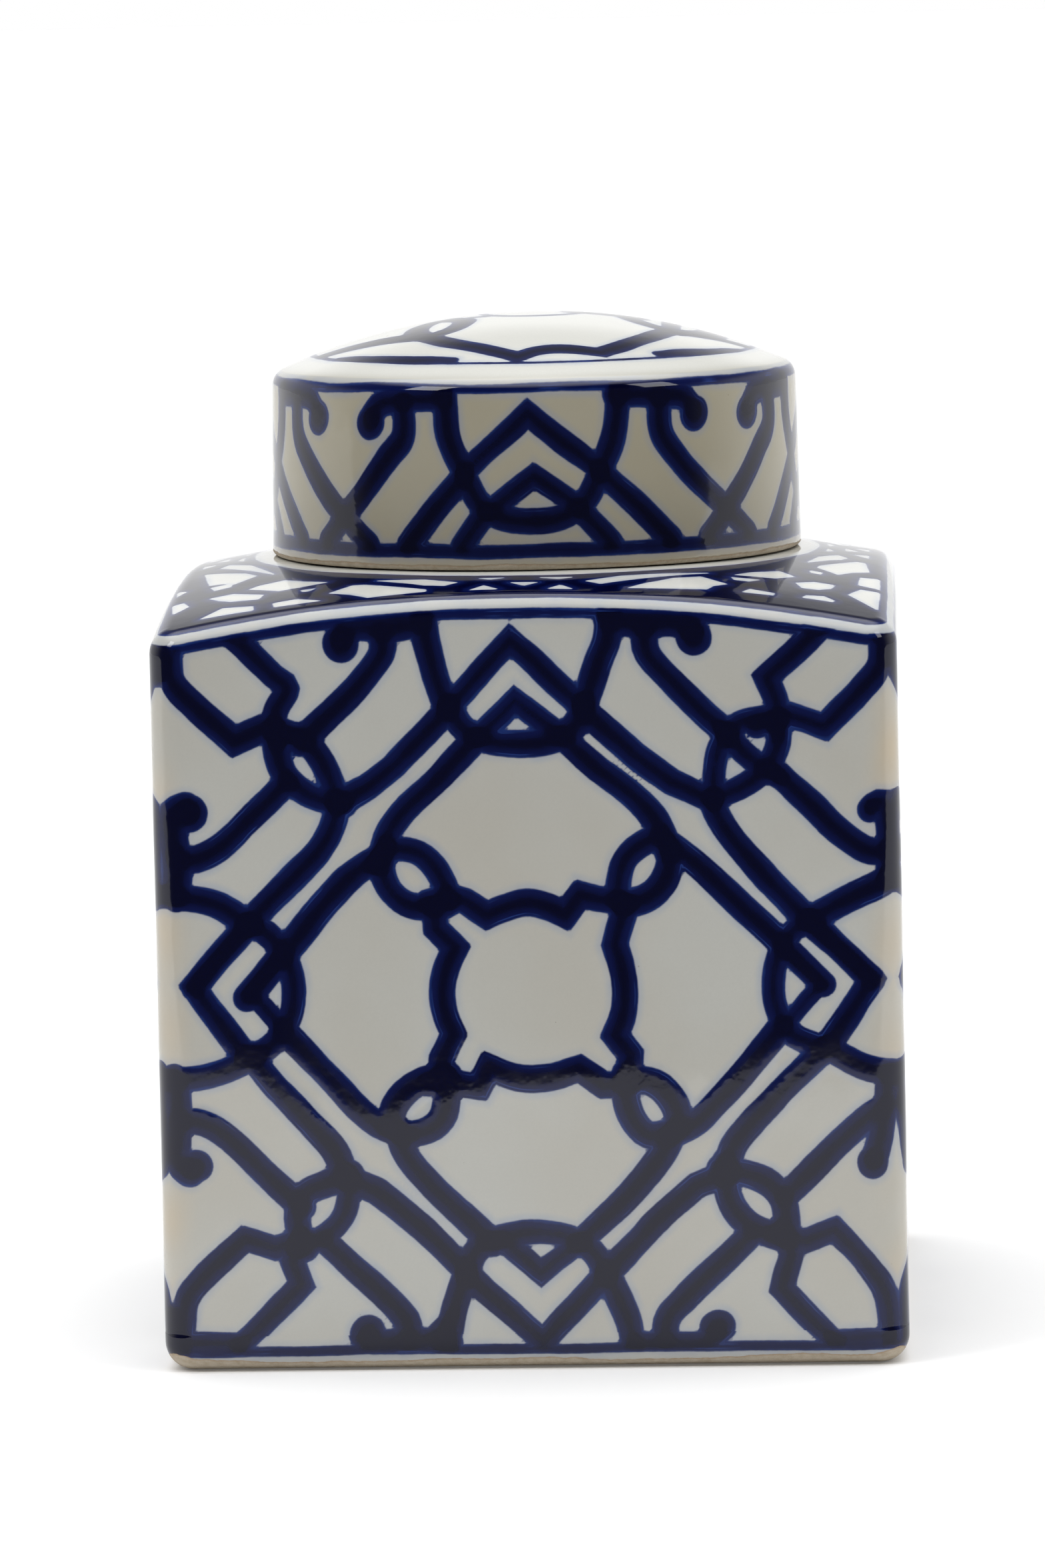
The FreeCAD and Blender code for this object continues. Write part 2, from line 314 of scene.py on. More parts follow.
def paint_left_edge(b):
    """Chevrons over a ring, and two scrolls that hang from bars, along the wall's left edge."""
    b.line((-74.5, 120.5), (-88.9, 104.6), (-76.2, 86.6), width=7.1)
    b.line((-66.5, 111.6), (-74.1, 103.1), (-66.5, 94.4), width=5.5)
    b.curve((-74, 121.6), (-69.2, 118.6), (-65.2, 113.8), (-63, 108.4), (-62.4, 102.6), (-63.2, 96.5),
            (-66.4, 90.8),
            (-71, 87), (-76, 85.4), width=6.8)
    b.curve((-99, 129.4), (-88.4, 128.2), (-82.6, 126.6), (-79, 124.6), (-73, 120.6), width=7.6)
    b.curve((-99, 79.4), (-89.7, 79.8), (-82.5, 81.4), (-78, 83.2), (-72, 86.6), width=7.2)
    b.ball(-88.8, 151.1, 5.0)
    b.curve((-90, 152.2), (-93.6, 150.6), (-93.8, 145), (-93.2, 138), (-93.4, 129), width=9.2)
    b.curve((-93, 139.8), (-87.5, 139), (-79.5, 143.2), (-71.5, 150.6), (-62.4, 159.4))
    b.ball(-89.8, 56.4, 4.7)
    b.curve((-91.4, 55), (-94.8, 57.6), (-94.8, 64), (-94.4, 70), (-94.8, 80), width=8.4)
    b.curve((-94, 68.4), (-88.2, 68), (-81.6, 64.4), (-73, 56.2), (-61.5, 45))


def paint_right_edge(b):
    """The same motifs along the wall's right edge."""
    b.line((75.6, 120.4), (91.2, 104), (79.6, 86.6), width=7.2)
    b.line((68.5, 112), (77.7, 103), (69.5, 93.4), width=4.9)
    b.curve((75.4, 120.6), (70, 116.8), (66.4, 110), (65.4, 102.6), (66.6, 95.6), (70.4, 89.4), (78, 86.2),
            width=6.6)
    b.curve((99, 132), (92, 129), (84.5, 125.4), (75.4, 120.6), width=7.8)
    b.curve((99, 78.4), (92.6, 79.6), (86.6, 81.8), (78.6, 86.4), width=7.2)
    b.ball(91.5, 149.6, 3.6)
    b.curve((92.4, 150.8), (95.4, 151.4), (96.2, 145), (96, 138), (96, 130), width=6.6)
    b.curve((96, 138), (90, 139), (83, 144.4), (76.6, 150.6), (67.6, 159.2))
    b.ball(90.8, 55.1, 4.4)
    b.curve((91.4, 56.6), (92.8, 62), (94.4, 70), (95.4, 79), width=7.4)
    b.curve((95, 70.4), (90.6, 68.2), (84, 62.2), (77, 55.4), (67.4, 46), width=7.2)


def paint_corners(b):
    """Cusped lines that end in a ring, in each of the wall's corners."""
    b.line((-93.4, 199), (-93.5, 191, 1), (-92.2, 185.4, 1), (-85.8, 179), (-76.5, 170.2), (-69, 173.5),
           (-63, 172),
           width=7.8)
    b.line((-98, 200), (-98, 189), width=8.5)
    b.line((98, 200), (98, 190), width=6.5)
    b.line((-98, 6), (-98, 16), width=6.0)
    b.line((-78.2, 200), (-65.8, 187.6), (-62.2, 184, 1), (-65.3, 177.6, 1), (-65, 170), width=7.0)
    b.curve((-65.2, 174), (-65, 167), (-63.2, 161.2), (-58.8, 156.8), (-53.6, 154.3), (-47.6, 152.8),
            width=7.4)
    b.curve((-60, 172), (-55.2, 167.4), (-51.9, 161.4), (-49.4, 153), width=7.0)
    b.line((80.8, 199.4), (64.8, 185), (67.4, 178, 1), (67.6, 170), width=7.0)
    b.line((95, 199), (95.2, 192, 1), (94.4, 187, 1), (88, 179.4), (79.9, 171.6), (71, 174.8), (62, 172.4),
           width=7.2)
    b.curve((64, 174.6), (57.4, 173), (52.8, 168), (50.9, 161.6), (50.4, 153), width=6.6)
    b.curve((53, 171.6), (60, 163.8), (67.6, 158.6), width=6.8)
    b.curve((68, 174), (67.3, 167), (64.2, 161), (58.6, 156.4), (51, 153), width=6.8)
    b.line((-94.4, 5), (-94.2, 13, 1), (-93, 20.8, 1), (-87, 27.4), (-77, 36.5), (-68.8, 33.8), (-61, 37),
           width=6.9)
    b.line((-94, 8.2), (-78, 8.4), width=6.4)
    b.line((-78.8, 7.4), (-62.2, 24), (-64.6, 30.4), (-62, 37), width=6.9)
    b.curve((-48.4, 53.6), (-55, 51.2), (-60.6, 48.6), (-62.9, 43.6), (-62.6, 38), (-61, 33.6), width=7.6)
    b.curve((-49.3, 54), (-49.1, 47.4), (-51, 41.6), (-55.6, 37), (-63, 33.4), width=6.6)
    b.line((94.8, 5), (94.9, 13, 1), (93.4, 21, 1), (88, 28.6), (80.5, 37.2), (72.8, 34.2), (64, 36.4),
           width=6.8)
    b.line((94.4, 8.2), (78, 8), width=5.2)
    b.line((79.8, 6.8), (66.2, 21.4), (68.9, 30.6), (66, 38), width=6.8)
    b.curve((51.4, 56), (51.8, 49), (54, 43), (58.4, 38.4), (66, 35.4), width=7.4)
    b.curve((50, 54), (57, 52.6), (63.2, 49.6), (67, 44.4), (67.8, 36), width=7.4)


def wall_strokes():
    """The fretwork of one wall: u to the right of its middle, v up from the table, in millimetres."""
    b = Brush(7.4)
    for part in (paint_top_and_bottom, paint_great_diamond, paint_frame, paint_left_edge, paint_right_edge,
                 paint_corners):
        part(b)
    return b.strokes


def lid_wall_strokes():
    """One of the lid wall's four repeats: u along the wall, v up from the lid's rim."""
    b = Brush(7.2)
    b.line((-15.5, 26.4), (1.8, 42), (20.8, 26.4), width=6.6)
    b.line((-8.6, 16.4), (3.2, 25.3), (15.4, 16.4), width=6.4)
    b.curve((-15.5, 25.5), (-12, 18.4), (-6.6, 14.4), (2, 13), (10.4, 14.2), (17, 18.4), (21, 25.5),
            width=7.0)
    b.curve((-21.2, 48), (-20.6, 38.5), (-18.6, 32), (-15.5, 26))
    b.curve((26.8, 48), (25.8, 37.6), (24, 31.6), (21, 26))
    b.line((-17, 24.4), (-24.5, 15.8), (-32.4, 6.6))
    b.line((-10.5, 15.4), (-16.8, 6.8), width=6.8)
    b.line((22.2, 25.6), (32, 16.2), (41.6, 6.6))
    b.line((16.6, 14.6), (23.8, 6.8), width=6.8)
    b.ball(-44.2, 39.6, 4.9)
    b.curve((-43.6, 41.4), (-40, 44.6), (-33, 45.6), (-21, 46.4), width=7.4)
    b.curve((-33.2, 45), (-33.4, 36), (-38.6, 30), (-46, 21.8), (-54.3, 13.6), (-61.4, 6.8), width=7.4)
    b.line((-54.3, 13.6), (-45, 6.6), width=6.8)
    b.ball(50.2, 40.2, 4.9)
    b.curve((49.6, 42), (46, 45.2), (38, 45.8), (26, 46.4), width=7.4)
    b.curve((38.6, 45), (39.4, 35.4), (45.2, 27.8), (53, 20.2), (61, 13.6), width=7.4)
    return b.strokes


def lid_top_strokes():
    """The medallion on the lid's crown, in plan. Its back half mirrors its front half."""
    b = Brush(6.6)
    for flip in (1, -1):
        def line(*points, **how):
            b.line(*((u, v * flip, *soft) for u, v, *soft in points), **how)

        line((-27.5, -32), (-20.5, -41, 1), (-9, -50.6, 1), (-1.5, -56.4), (4, -52.4, 1), (10, -50.6, 1),
             (21, -51), (26.6, -43.4, 1), (33, -32, 1), (38.6, -19))
        line((-28, -31), (-30.6, -23, 1), (-30, -15, 1), (-27, -9, 1), (-22, -7), width=7.0)
        line((-26.5, -31), (-20.4, -26, 1), (-18, -19, 1), (-18.4, -13, 1), (-23, -8), width=6.8)
        line((-25, -7.6), (-12, -9), width=3.4)
        line((-30, -28.5), (-45, -22, 1), (-59, -16), width=8.6)
        line((38.6, -18), (31.5, -13, 1), (27.4, -6, 1), (26.6, 0), width=7.4)
        line((38.6, -18), (38.4, 0), width=5.6)
        line((39.5, -18), (46.4, -11, 1), (49.4, -4, 1), (49.8, 0), width=8.6)
        line((43, -16), (52, -10, 1), (59, -7), width=7.0)
        line((-53, -31), (-43, -41, 1), (-31, -50, 1), (-19.5, -55.6), width=5.8, tip=0.75)
        line((36.6, -45.6), (46, -37, 1), (53.6, -28, 1), (59, -18), width=5.8, tip=0.75)
    circle = [(13.5 * math.cos(t), 13.5 * math.sin(t), 1) for t in np.arange(12) * math.pi / 6]
    b.strokes.append(Stroke(circle, 2.8, closed=True))
    b.line((13, 0), (27, 0), width=11.0)
    return b.strokes


class Window:
    """A patch of white ground left inside the shoulder's blue, with its corners in plan: across, and out."""

    def __init__(self, *points):
        self.points = np.array(points, float)
        self.low, self.high = self.points.min(0) - 3, self.points.max(0) + 3

    def distance(self, p):
        """Distance to the outline, negative inside, by the crossings of a line to the right."""
        away = np.full(len(p), CLEAR)
        inside = np.zeros(len(p), bool)
        for start, end in zip(self.points, np.roll(self.points, -1, 0)):
            side = end - start
            d = p - start
            t = np.clip(d @ side / (side @ side), 0, 1)
            away = np.minimum(away, np.hypot(*(d - t[:, None] * side).T))
            crosses = (start[1] > p[:, 1]) != (end[1] > p[:, 1])
            slant = side[0] / side[1] if side[1] else 0.0
            inside ^= crosses & (d[:, 0] < slant * d[:, 1])
        return np.where(inside, -away, away) - 0.3


def middle_windows():
    """What all four sides have between their corners."""
    return [
        Window((-51.4, 83.7), (-45.7, 78.3), (-42.6, 78.8), (-25.6, 89), (-25.4, 90.8), (-40.6, 92),
               (-45.5, 87.3)),
        Window((-39, 75.6), (-26.4, 78.7), (-17.6, 83.7), (-20.7, 86), (-26, 84.3), (-31, 80.7)),
        Window((-13.3, 91.8), (-10, 88.2), (-6.5, 91.8)),
        Window((-11.4, 80.6), (-8.6, 82), (-5.2, 80.9)),
        Window((-2.6, 85.9), (4, 85.9), (0.7, 88.8)),
        Window((4.8, 81.2), (13, 80.7), (9.6, 82.3)),
        Window((7.5, 91.8), (10.4, 88.6), (13.3, 91.8)),
        Window((17.2, 84.2), (26.6, 78), (36.7, 74), (49, 69.4), (39.4, 75), (29, 81.2), (21, 86.3)),
        Window((28.5, 89.7), (32.8, 84.8), (40.3, 77.9), (47.3, 74.3), (54.2, 79.7), (50.6, 82.7), (49, 86.6),
               (39.4, 88.3)),
    ]


def corner_windows():
    """What the front and the back have at their corners as well."""
    return [
        Window((-95, 67.3), (-92.4, 67), (-90.5, 72.4), (-92, 74.8), (-94, 77.4)),
        Window((-85, 67.8), (-79, 67.4), (-70.2, 75), (-71, 78.8), (-78.5, 76), (-82, 72.4)),
        Window((-74.4, 65), (-72, 62.5), (-65.5, 60.5), (-59.8, 66), (-53.2, 70.8), (-60, 72.4), (-65.7, 73)),
        Window((-59.6, 76.4), (-56, 76.5), (-57.4, 78.4), (-58.8, 78.3)),
        Window((-85.5, 88.9), (-82.6, 85.2), (-80.4, 82.3), (-72.1, 86), (-71.6, 89.9)),
        Window((-66.3, 86.2), (-60.2, 85.6), (-53.5, 90.2), (-65.6, 90.1)),
        Window((-86, 53), (-80, 52), (-80.5, 57), (-84.5, 58)),
        Window((-95.5, 49), (-93, 51.5), (-95, 55)),
        Window((55.6, 71.8), (62.8, 71.5), (60, 74.3), (56.4, 74.2)),
        Window((56.5, 68.4), (61, 63.4), (68, 58), (72, 62.4), (67, 67.4)),
        Window((58.8, 86.1), (60.7, 82.6), (67, 84), (66.6, 85.9)),
        Window((74.6, 84.2), (75.7, 81.7), (80.2, 80), (82.8, 82.6), (82.3, 84)),
        Window((72.8, 69.6), (77.6, 65.8), (82.8, 65.9), (81.8, 70.3), (78.7, 73.4), (74.4, 74.3)),
        Window((86.7, 74.1), (90.1, 66.1), (94.8, 66), (94.2, 84.4)),
        Window((76.5, 51.5), (79.5, 52), (79, 54.5), (76.5, 54)),
        Window((90, 51), (94.8, 49), (94.8, 62), (89.4, 61)),
    ]


# ---------------------------------------------------------------- surfaces, in millimetres
def outline(half, radius):
    """One quarter of a round-cornered square: across u, outward w, and the outward normal, seam to seam."""
    arc = np.linspace(math.pi * 3 / 4, math.pi / 2, ARC_CELLS + 1)
    flat = half - radius
    u = np.concatenate([-flat + radius * np.cos(arc[:-1]), np.linspace(-flat, flat, SIDE_CELLS + 1)])
    w = np.concatenate([flat + radius * np.sin(arc[:-1]), np.full(SIDE_CELLS + 1, half)])
    nu = np.concatenate([np.cos(arc[:-1]), np.zeros(SIDE_CELLS + 1)])
    nw = np.concatenate([np.sin(arc[:-1]), np.ones(SIDE_CELLS + 1)])
    right = slice(ARC_CELLS - 1, 0, -1)
    u = np.concatenate([u, -u[right]])
    w = np.concatenate([w, w[right]])
    nu = np.concatenate([nu, -nu[right]])
    nw = np.concatenate([nw, nw[right]])
    return np.stack([u, w], 1), np.stack([nu, nw], 1)


def four_sides(uw):
    """The quarter's points turned into all four sides' x and y, front first, then right, back and left."""
    x, y = uw[:, 0], -uw[:, 1]
    turns = [(x, y), (-y, x), (-x, -y), (y, -x)]
    return np.concatenate([np.stack(t, 1) for t in turns])


OUTER_UW, OUTER_N = outline(FOOT_HALF - DRAFT * SHOULDER_EDGE, CORNER)
RADIAL = four_sides(OUTER_UW / np.hypot(*OUTER_UW.T)[:, None])
_step = np.hypot(*np.diff(np.vstack([OUTER_UW, OUTER_UW[:1] * [-1, 1]]), axis=0).T)
UNROLLED = np.concatenate([[0], np.cumsum(_step)[:-1]]) - _step.sum() / 2
SIDE_LENGTH = float(_step.sum())

_reach = 160.0
_reach_z = SEAT - (_reach**2 - SEAT_RADIUS**2) / (2 * CROWN_BALL)
BALL_Z = (_reach**2 - SEAT_RADIUS**2 + _reach_z**2 - SEAT**2) / (2 * (_reach_z - SEAT))
BALL_R = math.hypot(SEAT_RADIUS, SEAT - BALL_Z)


def crown_height(radius):
    """Height of the shoulder at a distance from the axis, easing into the flat seat."""
    over = radius - SEAT_RADIUS
    eased = SEAT_RADIUS + 0.5 * (over + np.sqrt(over**2 + 1.6))
    return BALL_Z + np.sqrt(BALL_R**2 - eased**2)


def bends(count, first=0):
    """Sines and cosines at equal steps of a quarter turn."""
    turn = np.linspace(0, math.pi / 2, count)[first:]
    return zip(np.sin(turn), np.cos(turn))


class Rows:
    """Rings of points from the middle of the underside, out and up over the jar, and back down its inside."""

    def __init__(self):
        self.xyz, self.v, self.rise, self.kind = [], [], [], []

    def add(self, xy, z, kind, v=NOWHERE, rise=NOWHERE):
        """One ring. Its v is its height on the painting, and its rise how far it is past the wall's top."""
        z = np.broadcast_to(z, (RING,))
        self.xyz.append(np.column_stack([xy, z]))
        self.v.append(np.broadcast_to(v, (RING,)))
        self.rise.append(np.broadcast_to(rise, (RING,)))
        self.kind.append(kind)

    def square(self, half, radius, z, kind, **where):
        self.add(four_sides(outline(half, radius)[0]), z, kind, **where)

    def circle(self, radius, z, kind):
        self.add(RADIAL * radius, z, kind)


def foot_rows(rows):
    """The recess, the foot ring and the rounding up to the walls."""
    ring_inner = FOOT_HALF - RING_WIDTH
    for k in (0.0, 0.03, 0.25, 0.5, 0.75, 0.93):
        rows.square(ring_inner * k, 6.0 * k, RECESS, "floor")
    for sine, cosine in bends(4):
        rows.square(ring_inner - 2 + 2 * sine, 5.0, RECESS - 2 + 2 * cosine, "floor")
    for sine, cosine in bends(4):
        rows.square(ring_inner + 1 - cosine, 5.5, 1 - sine, "floor")
    for t in np.linspace(0.25, 0.75, 3):
        rows.square(ring_inner + 1 + t * (RING_WIDTH - 1 - FOOT_ROUND), 5.0, 0.0, "floor")
    for sine, cosine in bends(15):
        inset = FOOT_ROUND * (1 - sine)
        z = FOOT_ROUND * (1 - cosine)
        rows.square(FOOT_HALF - DRAFT * z - inset, CORNER - inset, z, "floor", v=z)
    for z in (8.3, 9.1, FOOT_TOP):
        rows.square(FOOT_HALF - DRAFT * z, CORNER, z, "floor", v=z)



def wall_and_shoulder_rows(rows):
    """The walls, the rounding over, and the shoulder, each column by its own height."""
    radius = np.hypot(*OUTER_UW.T)
    slope = np.arctan((OUTER_UW * OUTER_N).sum(1) / np.sqrt(BALL_R**2 - radius**2))
    sweep = math.pi / 2 - slope
    start = crown_height(radius) - ARRIS * np.tan(sweep / 2)
    for k in range(WALL_ROWS + 1):
        z = FOOT_TOP + (start - FOOT_TOP) * k / WALL_ROWS
        side = OUTER_UW + OUTER_N * (DRAFT * (SHOULDER_EDGE - z))[:, None]
        rows.add(four_sides(side), np.tile(z, 4), "wall", v=np.tile(z, 4), rise=np.tile(z - start, 4))
    top_uw = OUTER_UW - OUTER_N * (ARRIS * (1 - np.cos(sweep)))[:, None]
    miss = crown_height(np.hypot(*top_uw.T)) - (start + ARRIS * np.sin(sweep))
    for k in range(1, ARRIS_ROWS + 1):
        bend = sweep * k / ARRIS_ROWS
        uw = OUTER_UW - OUTER_N * (ARRIS * (1 - np.cos(bend)))[:, None]
        z = np.tile(start + ARRIS * np.sin(bend) + miss * (k / ARRIS_ROWS) ** 2, 4)
        rows.add(four_sides(uw), z, "arris", v=z, rise=np.tile(ARRIS * bend, 4))
    top_rise = np.tile(ARRIS * sweep, 4)
    top_xy = four_sides(top_uw)
    seat_xy = RADIAL * (SEAT_RADIUS - 1.5)
    for k in range(1, SHOULDER_ROWS + 1):
        t = k / SHOULDER_ROWS
        xy = top_xy * (1 - t) + seat_xy * t
        inward = np.hypot(*(xy - top_xy).T)
        square_in = top_rise + (np.abs(top_xy).max(1) - np.abs(xy).max(1))
        rows.add(xy, crown_height(np.hypot(*xy.T)), "shoulder", rise=np.where(inward < 40, square_in, 50.0))
    for r in (71.5, 69.5, 68.2):
        rows.circle(r, float(crown_height(r)), "shoulder")


def neck_rows(rows):
    root = 2.0
    for sine, cosine in bends(5):
        rows.circle(NECK_RADIUS + root * (1 - sine), SEAT + root * (1 - cosine), "neck")
    for z in np.linspace(SEAT + root, NECK_TOP - LIP, 9)[1:]:
        rows.circle(NECK_RADIUS, z, "neck")
    for sine, cosine in bends(7, 1):
        rows.circle(NECK_RADIUS - LIP * (1 - cosine), NECK_TOP - LIP * (1 - sine), "lip")
    for sine, cosine in bends(7):
        rows.circle(NECK_INSIDE + LIP * (1 - sine), NECK_TOP - LIP * (1 - cosine), "lip")


def inside_rows(rows):
    """Down the inside to the middle of its floor. Returns the first ring below the shoulder's underside."""
    roof_z = SEAT - ROOF
    for z in np.linspace(NECK_TOP - LIP, roof_z + 2, 10)[1:]:
        rows.circle(NECK_INSIDE, z, "inside")
    for sine, cosine in bends(5, 1):
        rows.circle(NECK_INSIDE + 2 * (1 - cosine), roof_z + 2 * (1 - sine), "inside")
    room_height = 195.0
    room_xy = four_sides(outline(FOOT_HALF - DRAFT * room_height - WALL, 6.0)[0])
    for t in np.linspace(0, 0.94, 10):
        xy = RADIAL * (NECK_INSIDE + 4) * (1 - t) + room_xy * t
        rows.add(xy, crown_height(np.hypot(*xy.T)) - ROOF, "inside")
    corner_z = crown_height(np.hypot(*(room_xy * 0.99).T)) - ROOF - 1.2
    rows.add(room_xy * 0.992, corner_z, "inside")
    top_z = corner_z - 3.5
    rows.add(room_xy, top_z, "inside")
    join = len(rows.xyz)
    low_z = FLOOR + 8.0
    for k in range(1, 25):
        z = top_z + (low_z - top_z) * k / 24
        widening = DRAFT * (room_height - z) / 93.0
        rows.add(room_xy * (1 + widening)[:, None], z, "inside")
    wide = FOOT_HALF - WALL
    for sine, cosine in bends(7):
        inset = 5 * (1 - cosine)
        rows.square(wide - inset, 6.0 - inset, FLOOR + 5 * (1 - sine), "inner_floor")
    for k in (0.75, 0.5, 0.25, 0.03, 0.0):
        rows.square((wide - 5) * k, 1.0 * k, FLOOR, "inner_floor")
    return join


def ripple(p, size, seed):
    """A gentle random waviness of about unit height over a size in millimetres."""
    local = np.random.default_rng(seed)
    total = np.zeros(p.shape[:-1])
    for _ in range(9):
        direction = local.normal(size=3)
        direction /= np.linalg.norm(direction)
        length = size * local.uniform(0.7, 1.5)
        total += np.sin(p @ direction * (2 * math.pi / length) + local.uniform(0, 6.28))
    return total / 3.0


def grid_normals(xyz):
    """Outward normals of a grid of rings whose columns close on themselves."""
    across = np.roll(xyz, -1, 1) - np.roll(xyz, 1, 1)
    up = np.gradient(xyz, axis=0)
    n = np.cross(across, up)
    length = np.linalg.norm(n, axis=2, keepdims=True)
    flat = length[..., 0] < 1e-9
    n = n / np.maximum(length, 1e-9)
    if flat[0].any():
        n[0] = n[1].mean(0) / np.linalg.norm(n[1].mean(0))
    if flat[-1].any():
        n[-1] = n[-2].mean(0) / np.linalg.norm(n[-2].mean(0))
    return n


def make_piece(name, xyz, normal, values, cyclic, wrapped, flat_steps=()):
    """A closed mesh from a grid of rings. Unless cyclic, its first and last rings are single points.

    Steps between rings that are listed in flat_steps are joint faces, which are flat shaded, as end caps are.
    """
    rows, cols = xyz.shape[:2]
    index = np.arange(rows * cols).reshape(rows, cols)
    points, normals = xyz.reshape(-1, 3), normal.reshape(-1, 3)
    row_next = np.roll(index, -1, 0) if cyclic else index[1:]
    row_here = index if cyclic else index[:-1]
    if wrapped:
        a, b = row_here, np.roll(row_here, -1, 1)
        d, c = row_next, np.roll(row_next, -1, 1)
    else:
        a, b = row_here[:, :-1], row_here[:, 1:]
        d, c = row_next[:, :-1], row_next[:, 1:]
    quads = np.stack([a, b, c, d], 2)
    step_of = np.repeat(np.arange(quads.shape[0])[:, None], quads.shape[1], 1)
    if cyclic:
        faces = quads.reshape(-1, 4).tolist()
        steps = step_of.reshape(-1)
    else:
        first = [[index[0, 0], q[2], q[3]] for q in quads[0]]
        last = [[q[0], q[1], index[-1, 0]] for q in quads[-1]]
        faces = first + quads[1:-1].reshape(-1, 4).tolist() + last
        steps = np.concatenate([step_of[0], step_of[1:-1].reshape(-1), step_of[-1]])
    flat = np.isin(steps, flat_steps)
    if not wrapped:
        faces += [index[::-1, 0].tolist(), index[:, -1].tolist()]
        flat = np.concatenate([flat, [True, True]])
    used = np.zeros(len(points), bool)
    corner_index = np.concatenate([np.asarray(f) for f in faces])
    used[corner_index] = True
    renumber = np.cumsum(used) - 1
    mesh = bpy.data.meshes.new(name)
    mesh.from_pydata((points[used] * MM).tolist(), [], [[int(renumber[i]) for i in f] for f in faces])
    for key, value in values.items():
        layer = mesh.attributes.new(key, "FLOAT", "POINT")
        layer.data.foreach_set("value", value.reshape(-1)[used].astype(np.float32))
    mesh.polygons.foreach_set("use_smooth", ~flat)
    sizes = np.array([len(f) for f in faces])
    loop_flat = np.repeat(flat, sizes)
    face_normal = np.empty(len(mesh.polygons) * 3)
    mesh.polygons.foreach_get("normal", face_normal)
    loop_normal = normals[corner_index].copy()
    loop_normal[loop_flat] = np.repeat(face_normal.reshape(-1, 3), sizes, axis=0)[loop_flat]
    mesh.normals_split_custom_set(loop_normal.tolist())
    piece = bpy.data.objects.new(name, mesh)
    bpy.context.scene.collection.objects.link(piece)
    return piece


def relief(xyz, normal, ink, keep):
    """The glaze's slight waves, and the faint swelling where colour lies under it."""
    wave = 0.085 * ripple(xyz, 62.0, 5) + 0.012 * ripple(xyz, 17.0, 6)
    swelling = 0.035 * smooth_step((1.6 - ink) / 3.4)
    return xyz + normal * ((wave + swelling) * keep)[..., None]


def paint_shoulder(ink, xyz, rise, waver):
    """Blue from the white stripe on the edge to the plain ring round the lid, but for its white windows."""
    x, y = xyz[..., 0], xyz[..., 1]
    band = np.maximum(78.4 + waver - np.hypot(x, y), 6.0 + waver - rise)
    band = np.where(rise > 3.5, band, CLEAR).reshape(-1)
    for q, (u, w) in enumerate(((x, -y), (y, x), (-x, y), (-y, -x))):
        p = np.stack([u, w], 2).reshape(-1, 2)
        windows = middle_windows() if q % 2 else middle_windows() + corner_windows()
        for window in windows:
            at = np.nonzero((band < 3) & (p > window.low).all(1) & (p < window.high).all(1))[0]
            band[at] = np.maximum(band[at], -window.distance(p[at]))
    ink.lay(band)


def paint_jar(rows, xyz):
    """The jar's ink: each wall's fretwork, the lines at its foot and top, and the shoulder."""
    v = np.array(rows.v)
    rise = np.array(rows.rise)
    ink = Ink(v.size)
    unrolled = np.concatenate([UNROLLED + q * SIDE_LENGTH for q in range(4)])
    girth = 4 * SIDE_LENGTH
    painted = (v > 2.0) & (rise < 6.0)
    for q in range(4):
        strokes = wall_strokes()
        mirror = -1.0 if q % 2 else 1.0
        local = (unrolled - q * SIDE_LENGTH + girth / 2) % girth - girth / 2 + 0 * v
        where = painted & (np.abs(local) < SIDE_LENGTH * 0.56)
        ink.paint(strokes, np.stack([mirror * local, v], 2).reshape(-1, 2), where.reshape(-1))
    ink.trim(np.maximum(rise - 3.1, FOOT_LINE - 1.3 - v).reshape(-1))
    waver = 0.25 * ripple(xyz, 34.0, 11)
    for height, middle in ((v, FOOT_LINE), (rise, 1.6)):
        line = np.where(v > NOWHERE, np.abs(height - middle - waver) - 1.5, CLEAR)
        ink.lay(line.reshape(-1))
    paint_shoulder(ink, xyz, rise, waver)
    return ink


def jar_finish(rows, xyz):
    """Where the clay is bare, where the fire has flashed the corners, and the painted light that whitens the
    ground on top.
    """
    kind = np.array(rows.kind)[:, None]
    z = xyz[..., 2]
    waver = ripple(xyz, 26.0, 21)
    away = SIDE_LENGTH / 2 - np.abs(np.tile(UNROLLED, 4))  # from the nearest corner
    foot_edge = z - 3.0 - 0.5 * waver - 1.6 * smooth_step((9.0 - away) / 9.0)
    bare = np.where(np.isin(kind, OUTSIDE), foot_edge, CLEAR)
    bare = np.where(kind == "lip", NECK_TOP - 0.9 - z + 0.15 * waver, bare)
    bare[:UNDERSIDE_ROWS] = -4.0
    flash = np.isin(kind, ["floor", "wall"]) * smooth_step((9.5 - away) / 9.0)
    flash = flash * np.clip(0.30 + 0.25 * ripple(xyz, 70.0, 31) + 0.2 * waver, 0, 1)
    flash = flash * smooth_step((195.0 - z) / 30.0)
    # painted light: the white ground is whiter from the rounding over up across the shoulder, where the light
    # from above falls
    pale = np.maximum(smooth_step((np.array(rows.rise) - 4.0) / 5.0), kind == "shoulder")
    return {"bare": np.clip(bare, -CLEAR, CLEAR), "flash": flash, "dull": np.zeros(z.shape), "pale": pale}


